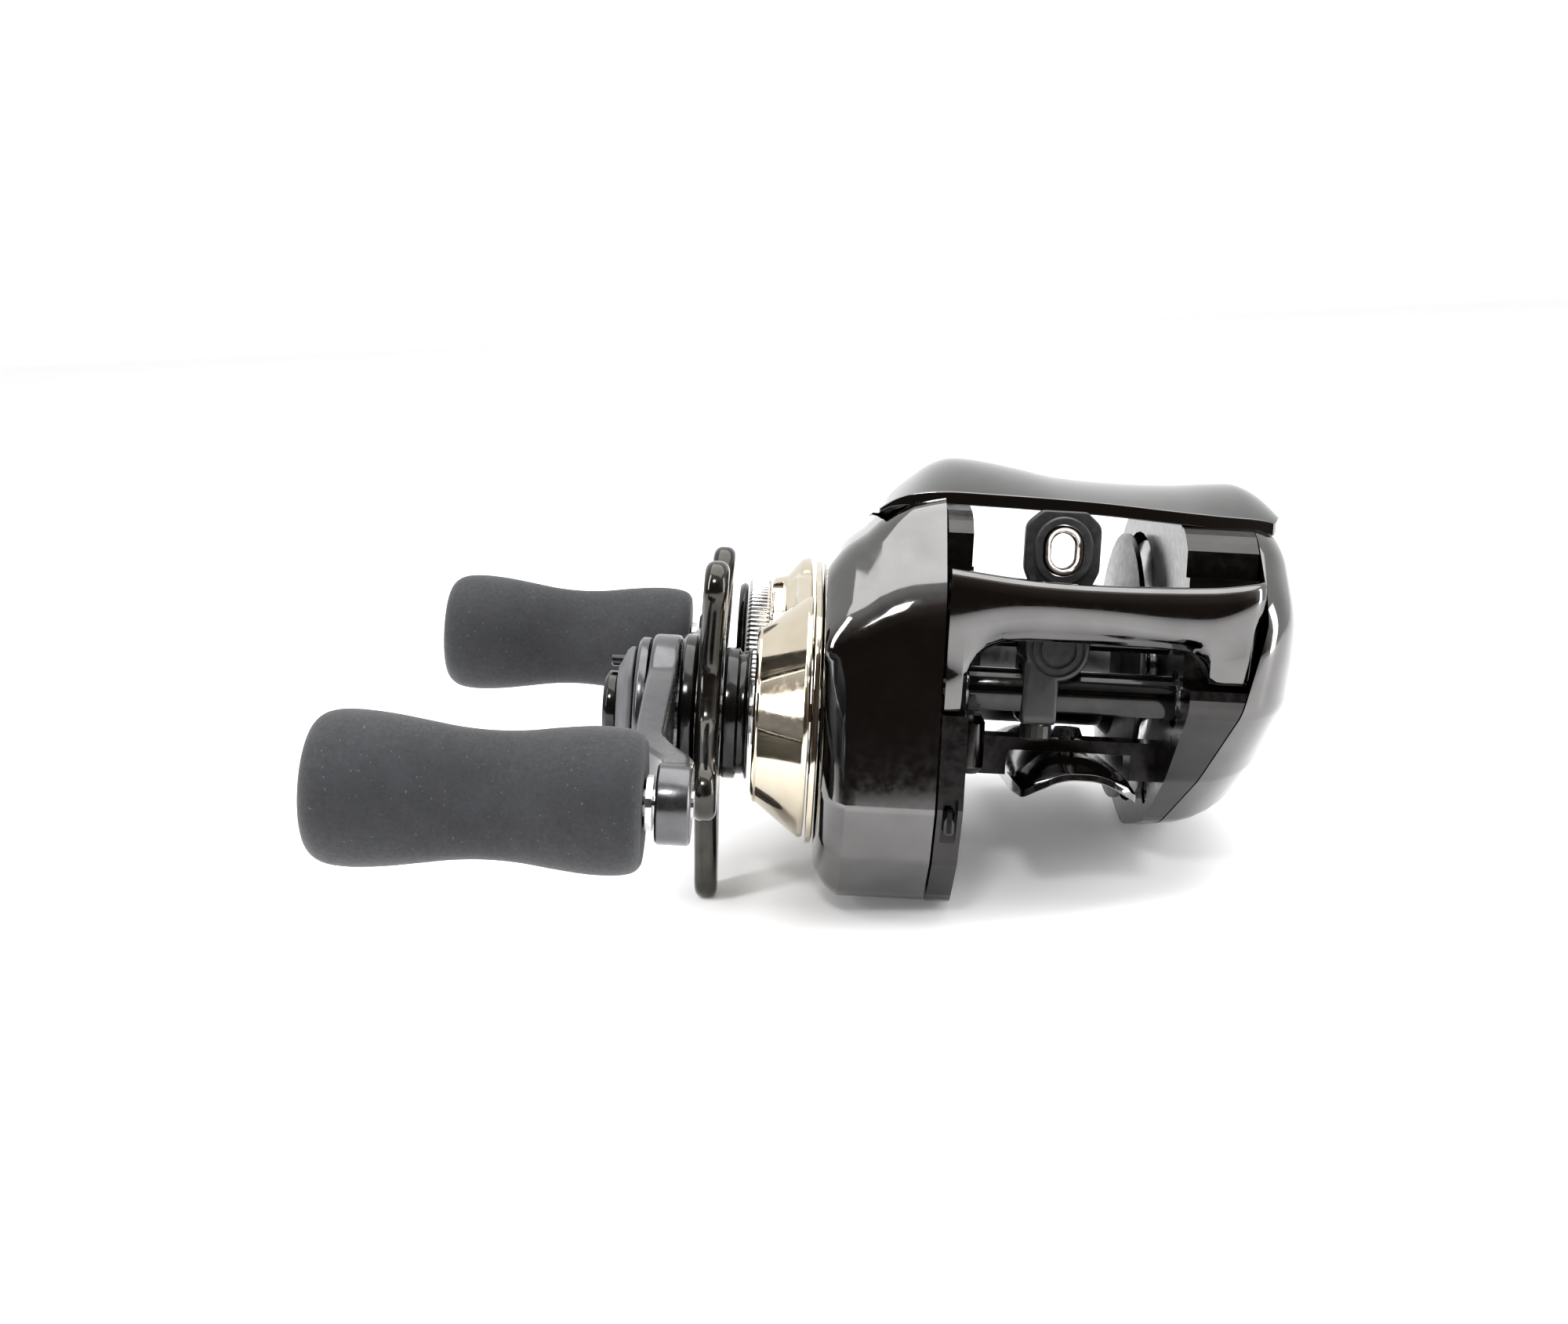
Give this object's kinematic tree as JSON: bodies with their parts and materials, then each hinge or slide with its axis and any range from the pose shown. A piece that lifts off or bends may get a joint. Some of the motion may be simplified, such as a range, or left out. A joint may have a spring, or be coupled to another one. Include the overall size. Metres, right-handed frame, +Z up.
{
  "type": "baitcasting reel",
  "caption": "Low-profile baitcasting fishing reel with a cranked double-knob handle, star drag, geared spool, clutch bar and level-wind line guide.",
  "frame": {"origin": "middle of the foot's underside, where the reel sits on a rod's reel seat", "axes": "+X along the spool axis away from the handle, -Y the side the line leaves by, +Z up from the foot to the hood"},
  "size_m": [0.1138, 0.0974, 0.0575],
  "materials": {
    "gunmetal": "dark mirror gloss",
    "black": "glossy black anodised",
    "gold": "polished champagne plating",
    "silver": "satin silver",
    "steel": "ground",
    "brass": "machined",
    "rubber": "soft matte",
    "guide_plastic": "fine satin",
    "carbon": "woven carbon",
    "nylon": "moulded"
  },
  "bodies": {
    "body": {"frame": "gunmetal", "gear_side_cover": "gunmetal", "palm_side_cover": "gunmetal", "hood": "gunmetal", "nose_cover": "gunmetal", "reel_foot": "gunmetal", "foot_screw_front": "steel", "foot_screw_rear": "steel", "clutch_housing": "gold", "housing_band": "gold", "drive_shaft_bearing": "steel", "one_way_clutch": "steel", "spool_bearing_left": "steel", "spool_bearing_right": "steel", "pinion_bearing": "steel", "brake_side_plate": "black", "worm_bushing_right": "steel", "worm_tube": "black", "guide_rod": "steel", "yoke_spring_lower": "steel", "yoke_spring_upper": "steel"},
    "handle": {"drive_shaft": "steel", "drive_gear": "brass", "anti_reverse_ratchet": "steel", "drag_washer": "carbon", "drag_pressure_plate": "steel", "level_wind_gear": "nylon", "clutch_sleeve": "steel", "star_sleeve": "black", "star_spacer": "black", "handle_arm": "black", "handle_washer": "black", "nut_retainer": "rubber", "handle_nut": "black", "retainer_screw": "steel", "front_knob_post": "steel", "rear_knob_post": "steel"},
    "star": {"star_drag": "black"},
    "front_grip": {"front_knob": "rubber", "front_knob_bearing": "steel", "front_knob_cap": "black"},
    "rear_grip": {"rear_knob": "rubber", "rear_knob_bearing": "steel", "rear_knob_cap": "black"},
    "spool_body": {"spool": "black", "spool_shaft": "steel"},
    "yoke": {"pinion_yoke": "steel"},
    "pinion_body": {"pinion": "steel"},
    "cam": {"clutch_cam": "steel"},
    "thumb": {"thumb_bar": "black"},
    "worm": {"worm_shaft": "steel", "worm_gear": "nylon"},
    "guide": {"line_guide": "guide_plastic", "guide_ring": "silver", "pawl": "brass", "pawl_cap": "steel"},
    "cast_knob": {"cast_control_cap": "silver", "cast_control_cover": "black"},
    "side_screw": {"side_plate_screw": "black"},
    "button": {"release_button": "black"}
  },
  "joints": [
    {"name": "handle_spin", "type": "hinge", "parent": "body", "child": "handle", "pos_m": [-0.05, -0.0135, 0.0044], "axis": [1, 0, 0], "continuous": true},
    {"name": "star_turn", "type": "hinge", "parent": "handle", "child": "star", "pos_m": [-0.045, -0.0135, 0.0044], "axis": [1, 0, 0], "range_deg": [-180, 180]},
    {"name": "front_knob_spin", "type": "hinge", "parent": "handle", "child": "front_grip", "pos_m": [-0.07, -0.05415, -0.00095], "axis": [1, 0, 0], "continuous": true},
    {"name": "rear_knob_spin", "type": "hinge", "parent": "handle", "child": "rear_grip", "pos_m": [-0.07, 0.02715, 0.00975], "axis": [1, 0, 0], "continuous": true},
    {"name": "spool_spin", "type": "hinge", "parent": "body", "child": "spool_body", "pos_m": [0, 0.0062, 0.0114], "axis": [1, 0, 0], "continuous": true},
    {"name": "thumb_press", "type": "slide", "parent": "body", "child": "thumb", "axis": [0, 0, -1], "range_m": [0, 0.004]},
    {"name": "yoke_slide", "type": "slide", "parent": "body", "child": "yoke", "axis": [-1, 0, 0], "range_m": [0, 0.0015]},
    {"name": "pinion_spin", "type": "hinge", "parent": "yoke", "child": "pinion_body", "pos_m": [-0.02, 0.0062, 0.0114], "axis": [1, 0, 0], "continuous": true},
    {"name": "cam_turn", "type": "hinge", "parent": "body", "child": "cam", "pos_m": [-0.019, 0.0062, 0.0114], "axis": [1, 0, 0], "range_deg": [-12, 0]},
    {"name": "worm_spin", "type": "hinge", "parent": "body", "child": "worm", "pos_m": [0, -0.024, 0.0101], "axis": [1, 0, 0], "continuous": true},
    {"name": "guide_slide", "type": "slide", "parent": "body", "child": "guide", "axis": [1, 0, 0], "range_m": [-0.006, 0.009]},
    {"name": "cast_control_turn", "type": "hinge", "parent": "body", "child": "cast_knob", "pos_m": [-0.04, 0.0062, 0.0114], "axis": [1, 0, 0], "range_deg": [-180, 180]},
    {"name": "side_screw_turn", "type": "hinge", "parent": "body", "child": "side_screw", "pos_m": [0.0118, -0.009, -0.0034], "axis": [1, 0, 0], "range_deg": [0, 180]},
    {"name": "button_slide", "type": "slide", "parent": "body", "child": "button", "axis": [0, 0, -1], "range_m": [0, 0.001]}
  ],
  "couplings": [
    {"joint": "spool_spin", "follows": "handle_spin", "ratio": -5.4167},
    {"joint": "pinion_spin", "follows": "handle_spin", "ratio": -5.4167},
    {"joint": "worm_spin", "follows": "handle_spin", "ratio": -1.5},
    {"joint": "yoke_slide", "follows": "thumb_press", "ratio": 0.375},
    {"joint": "cam_turn", "follows": "thumb_press", "rad_per_m": -52.3}
  ]
}
